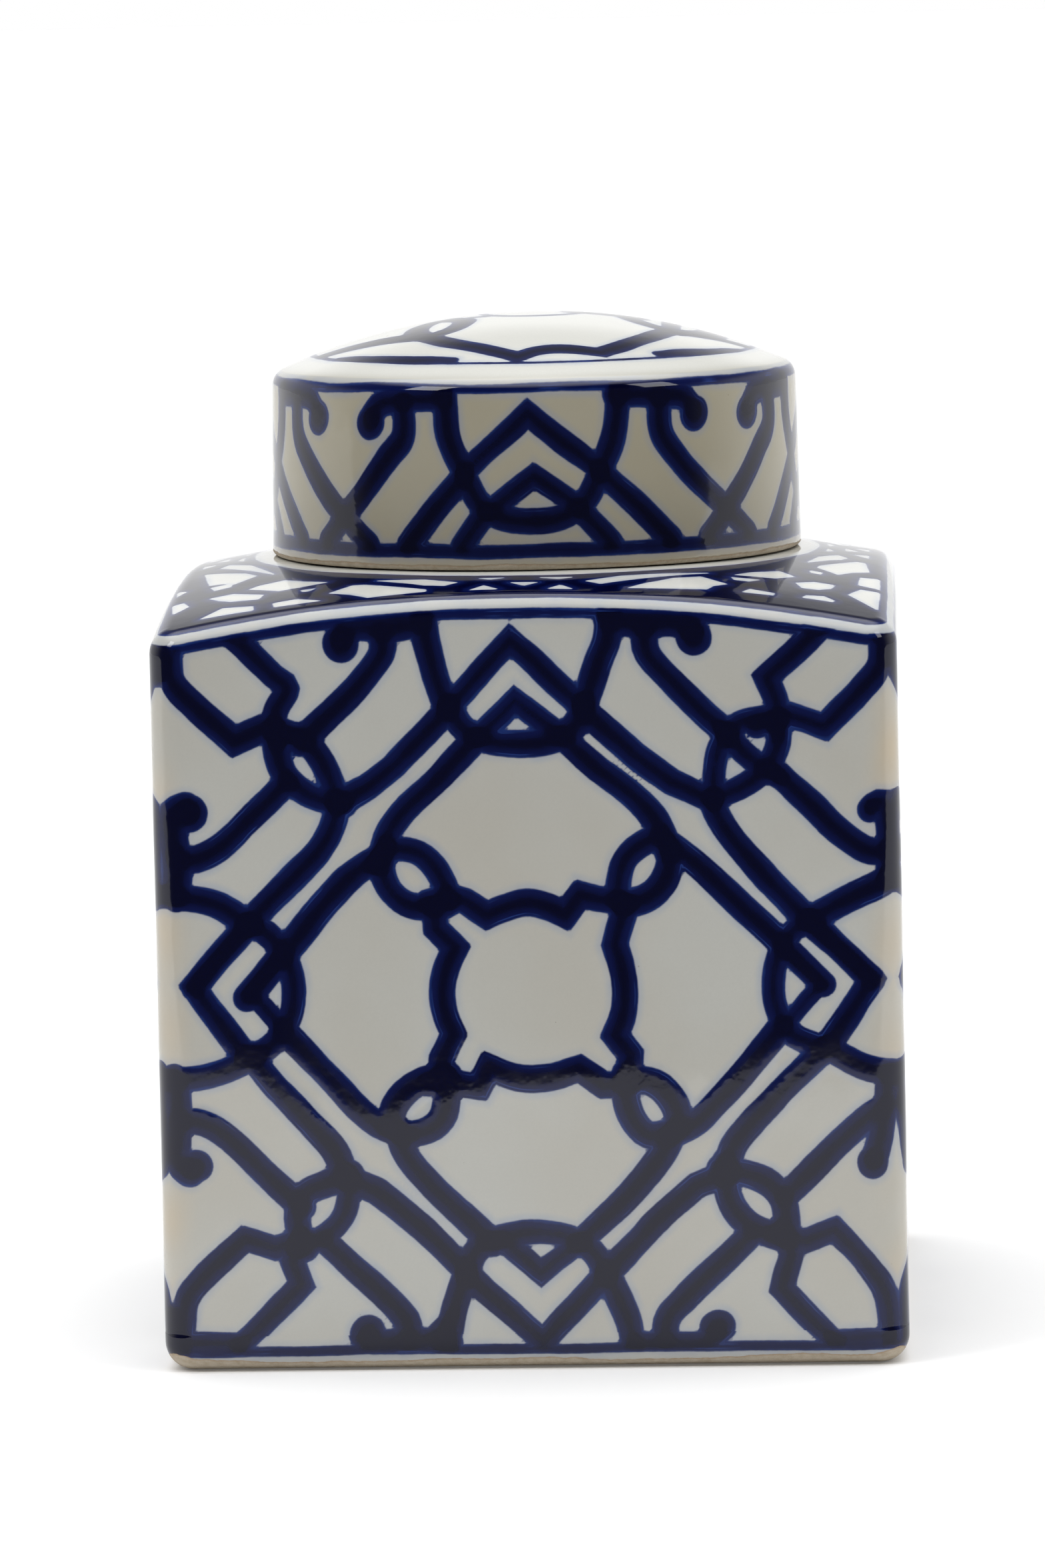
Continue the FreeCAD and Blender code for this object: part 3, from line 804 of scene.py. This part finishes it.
def build_jar():
    """The jar's body as six pieces cut from one surface."""
    rows = Rows()
    foot_rows(rows)
    wall_and_shoulder_rows(rows)
    neck_rows(rows)
    join = inside_rows(rows)
    xyz = np.array(rows.xyz)
    kind = np.array(rows.kind)
    shape = xyz.shape[:2]
    ink = paint_jar(rows, xyz)
    edge = ink.edge.reshape(shape)
    values = {"ink": edge, "load": ink.load.reshape(shape), **jar_finish(rows, xyz)}
    keep = np.isin(kind, OUTSIDE)[:, None] * smooth_step(xyz[..., 2] / 14.0)
    xyz = relief(xyz, grid_normals(xyz), edge, keep)
    normal = grid_normals(xyz)

    def cut(*parts, columns=np.arange(RING)):
        """The rings in the given ranges, for the given columns, of every array."""
        pick = np.concatenate([np.arange(a, b + 1) for a, b in parts])
        take = np.ix_(pick, columns)
        return xyz[take], normal[take], {k: x[take] for k, x in values.items()}

    wall_first, wall_last = np.nonzero(kind == "wall")[0][[0, -1]]
    inner_first = join - 1
    inner_last = np.nonzero(kind == "inside")[0][-1]
    walls = ((wall_first, wall_last), (inner_first, inner_last))
    top_joint = wall_last - wall_first
    foot_joint = top_joint + 1 + inner_last - inner_first
    pieces = []
    for q, side in enumerate(("front", "right", "back", "left")):
        columns = np.arange(q * QUARTER, (q + 1) * QUARTER + 1) % RING
        side_walls = cut(*walls, columns=columns)
        pieces.append(make_piece(f"jar_wall_{side}", *side_walls, True, False, (top_joint, foot_joint)))
    top = cut((wall_last, inner_first))
    pieces.append(make_piece("jar_shoulder_and_neck", *top, True, True, (inner_first - wall_last,)))
    base = cut((0, wall_first), (inner_last, len(xyz) - 1))
    pieces.append(make_piece("jar_floor_and_foot", *base, False, True, (wall_first,)))
    return pieces


def lid_profile():
    """Radius, height and kind of each ring, from the middle of the crown, down the wall and up the inside."""
    out = []
    top_radius = LID_RADIUS - LID_TAPER
    wall_top = LID_BASE + LID_WALL_RISE
    sag = LID_TOP - wall_top
    ball = (top_radius**2 + sag**2) / (2 * sag)
    centre = LID_TOP - ball
    lean = math.atan2(LID_TAPER, LID_WALL_RISE)
    edge_ball = ball - LID_EDGE
    off = top_radius - LID_EDGE / math.cos(lean)
    for _ in range(12):
        edge_z = centre + math.sqrt(edge_ball**2 - off**2)
        off = LID_RADIUS - math.tan(lean) * (edge_z - LID_BASE) - LID_EDGE / math.cos(lean)
    dome_end = math.atan2(off, edge_z - centre)
    for t in np.concatenate([[0.0, 0.012], np.linspace(0.03, 1, 64)]):
        angle = dome_end * t
        out.append((ball * math.sin(angle), centre + ball * math.cos(angle), "crown"))
    for t in np.linspace(0, 1, 11)[1:]:
        angle = dome_end + (math.pi / 2 - lean - dome_end) * t
        out.append((off + LID_EDGE * math.sin(angle), edge_z + LID_EDGE * math.cos(angle), "edge"))
    z_start = edge_z + LID_EDGE * math.sin(lean)
    for z in np.linspace(z_start, LID_BASE + LID_RIM, 50)[1:]:
        out.append((LID_RADIUS - math.tan(lean) * (z - LID_BASE), z, "wall"))
    for sine, cosine in bends(6, 1):
        out.append((LID_RADIUS - LID_RIM * (1 - cosine), LID_BASE + LID_RIM * (1 - sine), "wall"))
    inner = LID_RADIUS - LID_WALL
    for sine, cosine in bends(7):
        out.append((inner + LID_RIM * (1 - sine), LID_BASE + LID_RIM * (1 - cosine), "rim"))
    ceiling = centre - CROWN_THICK
    corner = 6.0
    corner_r = inner - 0.6 - corner
    corner_z = ceiling + math.sqrt((ball - corner) ** 2 - corner_r**2)
    for z in np.linspace(LID_BASE + LID_RIM, corner_z, 14)[1:]:
        out.append((inner - 0.6 * (z - LID_BASE) / (corner_z - LID_BASE), z, "inside"))
    under = math.atan2(corner_r, corner_z - ceiling)
    for bend in np.linspace(0, math.pi / 2 - under, 7)[1:]:
        out.append((corner_r + corner * math.cos(bend), corner_z + corner * math.sin(bend), "inside"))
    for t in (0.85, 0.7, 0.55, 0.4, 0.25, 0.12, 0.02, 0.0):
        out.append((ball * math.sin(under * t), ceiling + ball * math.cos(under * t), "inside"))
    return out


def paint_lid(xyz, kind, around, up):
    """The lid's ink: its wall, four times round, the medallion on its crown, and the lines round both."""
    ink = Ink(up.size)
    girth = 2 * math.pi * LID_RADIUS
    outer = np.isin(kind, ["wall", "edge"])
    crown = kind == "crown"
    radius = np.hypot(xyz[..., 0], xyz[..., 1])
    for q in range(4):
        local = (around - q * girth / 4 + girth / 2) % girth - girth / 2
        where = outer & (up > 2.0) & (up < 53.0) & (np.abs(local) < 90)
        ink.paint(lid_wall_strokes(), np.stack([local, up], 2).reshape(-1, 2), where.reshape(-1))
    ink.trim(np.maximum(up - LID_WALL_RISE, 3.3 - up).reshape(-1))
    ink.paint(lid_top_strokes(), xyz[..., :2].reshape(-1, 2), (crown & (radius < 60.4)).reshape(-1))
    waver = 0.2 * ripple(xyz, 30.0, 41)
    top_line, low_line, ring = (outer, up, 48.7, 1.3), (outer, up, 5.2, 2.0), (crown, radius, 60.6, 0.75)
    for part, place, middle, half in (top_line, low_line, ring):
        ink.lay(np.where(part, np.abs(place - middle - waver) - half, CLEAR).reshape(-1))
    return ink


def build_lid():
    profile = lid_profile()
    kind = np.array([k for _, _, k in profile])[:, None]
    r = np.array([p[0] for p in profile])[:, None]
    z = np.array([p[1] for p in profile])[:, None]
    turn = np.arange(LID_COLUMNS) * 2 * math.pi / LID_COLUMNS - math.pi / 2
    xyz = np.stack([r * np.cos(turn), r * np.sin(turn), z + 0 * turn], 2)
    up = xyz[..., 2] - LID_BASE
    ink = paint_lid(xyz, kind, (turn + math.pi / 2) * LID_RADIUS + 0 * up, up)
    edge = ink.edge.reshape(up.shape)
    outside = np.isin(kind, ["wall", "edge", "crown"])
    bare = np.where(outside, up - 1.4 - 0.2 * ripple(xyz, 22.0, 43), CLEAR)
    bare = np.where(kind == "rim", -3.0, bare)
    bare = np.where(kind == "inside", up - 4.0 - 0.4 * ripple(xyz, 22.0, 44), bare)
    values = {
        "ink": edge,
        "load": ink.load.reshape(up.shape),
        "bare": np.clip(bare, -CLEAR, CLEAR),
        "flash": 0.25 * outside * smooth_step((14.0 - up) / 14.0),
        # painted shade: the lid's wall is darker and warmer below its top line
        "dull": outside * smooth_step((52.5 - up) / 5.0),
        # painted light: the crown's white ground is whiter, where the light from above falls
        "pale": (kind == "crown") * smooth_step((up - 50.0) / 3.0),
    }
    xyz = relief(xyz, grid_normals(xyz), edge, outside * smooth_step((up - 1.0) / 8.0) * 0.8)
    return make_piece("lid_cap", xyz, grid_normals(xyz), values, False, True)


# ---------------------------------------------------------------- materials
class Nodes:
    """Short names for building the nodes of a material or of the world."""

    def __init__(self, owner, coordinates="Object"):
        owner.use_nodes = True
        self.tree = owner.node_tree
        self.place = self.add("ShaderNodeTexCoord").outputs[coordinates]

    def add(self, kind, **settings):
        node = self.tree.nodes.new(kind)
        for key, value in settings.items():
            setattr(node, key, value)
        return node

    def plug(self, socket, value):
        if isinstance(value, bpy.types.NodeSocket):
            self.tree.links.new(value, socket)
        else:
            socket.default_value = value

    def attribute(self, name):
        return self.add("ShaderNodeAttribute", attribute_name=name).outputs["Fac"]

    def calc(self, kind, a, b=0.0, c=0.0):
        node = self.add("ShaderNodeMath", operation=kind)
        for socket, value in zip(node.inputs, (a, b, c)):
            self.plug(socket, value)
        return node.outputs[0]

    def noise(self, scale, detail=2.0, rough=0.5, warp=0.0):
        node = self.add("ShaderNodeTexNoise")
        self.plug(node.inputs["Vector"], self.place)
        for key, value in (("Scale", scale), ("Detail", detail), ("Roughness", rough), ("Distortion", warp)):
            node.inputs[key].default_value = value
        return node.outputs["Fac"]

    def ramp(self, value, low, high, to_low=0.0, to_high=1.0):
        node = self.add("ShaderNodeMapRange", interpolation_type="SMOOTHSTEP")
        names = ("Value", "From Min", "From Max", "To Min", "To Max")
        for key, setting in zip(names, (value, low, high, to_low, to_high)):
            self.plug(node.inputs[key], setting)
        return node.outputs["Result"]

    def mix(self, amount, a, b, kind="MIX"):
        node = self.add("ShaderNodeMix", data_type="RGBA", blend_type=kind)
        self.plug(node.inputs["Factor"], amount)
        colours = [s for s in node.inputs if s.type == "RGBA"]
        for socket, value in zip(colours, (a, b)):
            self.plug(socket, (*value, 1.0) if isinstance(value, tuple) else value)
        return next(s for s in node.outputs if s.type == "RGBA")

    def spots(self, scale, radius, share):
        """Round specks: one for a share of cells of a cellular pattern."""
        node = self.add("ShaderNodeTexVoronoi", feature="F1")
        self.plug(node.inputs["Vector"], self.place)
        node.inputs["Scale"].default_value = scale
        near = self.ramp(node.outputs["Distance"], radius * scale, radius * scale * 0.5)
        picker = self.add("ShaderNodeSeparateColor")
        self.plug(picker.inputs[0], node.outputs["Color"])
        chosen = self.calc("LESS_THAN", picker.outputs[0], share)
        return self.calc("MULTIPLY", near, chosen)


GLAZE_WHITE = (0.515, 0.515, 0.480)
GLAZE_WARM = (0.490, 0.475, 0.425)
# painted light: the whiter ground of the upward faces
GLAZE_TOP_LIGHT = (0.64, 0.64, 0.60)
# painted shade on the lid's wall
GLAZE_LID_SHADE = (0.40, 0.365, 0.270)
COBALT_EDGE = (0.0110, 0.0290, 0.1450)
COBALT_MID = (0.0028, 0.0062, 0.0560)
COBALT_CORE = (0.0007, 0.0011, 0.0150)
# a lighter blue, for a line a little inside the strokes' edges
COBALT_LIGHT_LINE = (0.020, 0.048, 0.220)
CLAY = (0.50, 0.44, 0.35)
CLAY_DARK = (0.40, 0.33, 0.24)
FLASH = (0.60, 0.46, 0.28)


def painted_glaze():
    material = bpy.data.materials.new("underglaze_blue_porcelain")
    n = Nodes(material)
    shader = n.tree.nodes["Principled BSDF"]
    ink, load, bare = (n.attribute(k) for k in ("ink", "load", "bare"))
    flash, dull, pale = (n.attribute(k) for k in ("flash", "dull", "pale"))

    # the brush's edge trembles a little, and colour creeps out of it into the glaze
    tremble = n.calc("MULTIPLY_ADD", n.noise(650, 2.0), 0.16, -0.08)
    drift = n.calc("MULTIPLY_ADD", n.noise(120, 2.0), 0.50, -0.25)
    edge = n.calc("ADD", ink, n.calc("ADD", tremble, drift))
    covered = n.ramp(edge, 0.24, -0.26)
    creep = n.calc("MULTIPLY", n.ramp(edge, 2.4, 0.0), n.ramp(n.noise(90), 0.3, 0.75, 0.14, 0.36))

    # depth of colour: blue at the edge, nearly black where it pools or where two strokes cross
    depth = n.calc("MULTIPLY", edge, -1.0)
    pooled = n.calc("MULTIPLY_ADD", n.noise(42, 3.0, 0.6, 0.6), 2.2, -1.1)
    crossed = n.calc("MULTIPLY", n.calc("MAXIMUM", n.calc("SUBTRACT", load, 1.0), 0.0), 1.2)
    body = n.calc("ADD", depth, n.calc("ADD", pooled, crossed))
    blue = n.mix(n.ramp(body, -0.1, 0.9), COBALT_EDGE, COBALT_MID)
    blue = n.mix(n.ramp(body, 0.9, 3.4), blue, COBALT_CORE)
    # a lighter blue line a little inside each stroke's edge, in patches
    streak = n.calc("MULTIPLY", n.ramp(n.calc("ABSOLUTE", n.calc("SUBTRACT", depth, 0.9)), 0.3, 0.0),
                   n.ramp(n.noise(65, 2.0), 0.55, 0.70, 0.0, 0.7))
    blue = n.mix(streak, blue, COBALT_LIGHT_LINE)

    # the white ground: warm drifts, painted light on top, painted shade on the lid's wall, fine grain, iron
    # specks and stray drops of blue
    ground = n.mix(n.ramp(n.noise(14, 3.0), 0.35, 0.7), GLAZE_WHITE, GLAZE_WARM)
    # painted light: the shoulder and the lid's crown are whiter, where the light from above falls
    ground = n.mix(pale, ground, GLAZE_TOP_LIGHT)
    # painted shade: the lid's wall darkened and warmed, unevenly
    lid_shade = n.calc("MULTIPLY", dull, n.ramp(n.noise(22, 2.0), 0.3, 0.7, 0.85, 1.0))
    ground = n.mix(lid_shade, ground, GLAZE_LID_SHADE)
    grain = n.ramp(n.noise(1500, 2.0, 0.7), 0.25, 0.75, 0.0, 0.10)
    ground = n.mix(grain, ground, (0.40, 0.395, 0.36))
    ground = n.mix(n.calc("MULTIPLY", flash, 0.75), ground, FLASH)
    ground = n.mix(n.calc("MULTIPLY", n.spots(75, 0.00045, 0.30), 0.65), ground, (0.22, 0.14, 0.07))
    ground = n.mix(n.calc("MULTIPLY", n.spots(150, 0.00018, 0.35), 0.6), ground, (0.12, 0.09, 0.06))
    ground = n.mix(n.calc("MULTIPLY", n.spots(24, 0.0007, 0.10), 0.85), ground, (0.02, 0.035, 0.12))
    ground = n.mix(creep, ground, (0.20, 0.29, 0.50))
    glaze = n.mix(covered, ground, blue)

    # unglazed clay at the foot, the lid's rim and the neck's lip, darker along the line where the glaze stops
    glaze_edge = n.calc("ADD", bare, n.calc("MULTIPLY_ADD", n.noise(260, 3.0, 0.6), 1.2, -0.6))
    glazed = n.ramp(glaze_edge, -0.15, 0.15)
    clay = n.mix(n.ramp(n.noise(420, 4.0, 0.7), 0.3, 0.75), CLAY, CLAY_DARK)
    clay = n.mix(n.ramp(n.calc("ABSOLUTE", glaze_edge), 0.7, 0.0, 0.0, 0.5), clay, (0.33, 0.20, 0.10))
    colour = n.mix(glazed, clay, glaze)
    n.plug(shader.inputs["Base Color"], colour)

    shine = n.ramp(n.noise(55, 3.0), 0.3, 0.7, 0.035, 0.075)
    roughness = n.add("ShaderNodeMix", data_type="FLOAT")
    n.plug(roughness.inputs[0], glazed)
    n.plug(roughness.inputs[2], 0.78)
    n.plug(roughness.inputs[3], shine)
    n.plug(shader.inputs["Roughness"], roughness.outputs[0])
    shader.inputs["IOR"].default_value = 1.5
    shader.inputs["Specular IOR Level"].default_value = 0.4

    # faint orange peel in the glaze, grit in the clay
    peel = n.calc("MULTIPLY", n.noise(210, 2.0), 0.000018)
    grit = n.calc("MULTIPLY", n.noise(1400, 3.0, 0.7), 0.00016)
    clay_share = n.calc("SUBTRACT", 1.0, glazed)
    lift = n.calc("ADD", peel, n.calc("MULTIPLY", grit, clay_share))
    bump = n.add("ShaderNodeBump")
    bump.inputs["Distance"].default_value = 1.0
    bump.inputs["Strength"].default_value = 1.0
    n.plug(bump.inputs["Height"], lift)
    n.plug(shader.inputs["Normal"], bump.outputs["Normal"])
    return material


# ---------------------------------------------------------------- build
glaze = painted_glaze()
for piece in build_jar():
    piece.data.materials.append(glaze)
    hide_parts("jar_body")
    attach(piece, "jar")
lid = build_lid()
lid.data.materials.append(glaze)
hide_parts("lid")
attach(lid, "lid")


# ---------------------------------------------------------------- stage, light and camera
def stage_material(name, colour, rough):
    material = bpy.data.materials.new(name)
    material.use_nodes = True
    shader = material.node_tree.nodes["Principled BSDF"]
    shader.inputs["Base Color"].default_value = (*colour, 1.0)
    shader.inputs["Roughness"].default_value = rough
    shader.inputs["Specular IOR Level"].default_value = 0.2
    return material


def make_floor():
    mesh = bpy.data.meshes.new("floor")
    side, front, back = 6.0, -0.62, 40.0
    corners = [(-side, front, 0), (side, front, 0), (side, back, 0), (-side, back, 0)]
    mesh.from_pydata(corners, [], [(0, 1, 2, 3)])
    paper = stage_material("paper_floor", (0.84, 0.84, 0.84), 0.9)
    glow = paper.node_tree.nodes["Principled BSDF"].inputs
    glow["Emission Color"].default_value = (1.0, 1.0, 1.0, 1.0)
    glow["Emission Strength"].default_value = 0.08
    mesh.materials.append(paper)
    floor = bpy.data.objects.new("floor", mesh)
    bpy.context.scene.collection.objects.link(floor)


def soft_light(name, place, aim, width, height, power):
    data = bpy.data.lights.new(name, "AREA")
    data.shape = "RECTANGLE"
    data.size, data.size_y, data.energy = width, height, power
    light = bpy.data.objects.new(name, data)
    bpy.context.scene.collection.objects.link(light)
    light.location = place
    light.rotation_euler = (Vector(aim) - Vector(place)).to_track_quat("-Z", "Y").to_euler()


def make_world():
    """A white backdrop, a large light overhead, and little between them or behind the camera."""
    world = bpy.data.worlds.new("studio")
    n = Nodes(world, "Generated")
    split = n.add("ShaderNodeSeparateXYZ")
    n.plug(split.inputs[0], n.place)
    back, up = split.outputs["Y"], split.outputs["Z"]
    backdrop = n.calc("MULTIPLY", n.ramp(back, -0.35, 0.40, 0.08, 1.0), n.ramp(up, 0.30, 0.55, 1.0, 0.22))
    overhead = n.ramp(up, 0.70, 0.92, 0.0, 3.1)
    background = n.tree.nodes["Background"]
    background.inputs["Color"].default_value = (1.0, 1.0, 1.0, 1.0)
    n.plug(background.inputs["Strength"], n.calc("ADD", backdrop, overhead))
    bpy.context.scene.world = world


def make_camera():
    """The view of the photograph: far off, a little above and to the right, with a long lens."""
    data = bpy.data.cameras.new("camera")
    data.sensor_fit = "VERTICAL"
    data.sensor_height = 36.0
    data.lens = 163.4
    data.clip_end = 100.0
    camera = bpy.data.objects.new("camera", data)
    bpy.context.scene.collection.objects.link(camera)
    place = Vector((0.0992, -1.9683, 0.3754))
    aim = Vector((-0.0055, 0.0, 0.1461))
    look = (aim - place).normalized()
    right = look.cross(Vector((0, 0, 1))).normalized()
    up = right.cross(look)
    roll = -0.0215
    turned_right = math.cos(roll) * right + math.sin(roll) * up
    turned_up = math.cos(roll) * up - math.sin(roll) * right
    basis = Matrix((turned_right, turned_up, -look)).transposed().to_4x4()
    camera.matrix_world = Matrix.Translation(place) @ basis
    bpy.context.scene.camera = camera


make_floor()
make_world()
soft_light("key_left", (-1.1, -0.9, 1.5), (0, 0, 0.15), 0.5, 0.7, 8)
soft_light("fill_right", (1.3, -0.7, 1.2), (0, 0, 0.15), 0.5, 0.7, 5)
make_camera()
bpy.context.scene.view_settings.view_transform = "Standard"
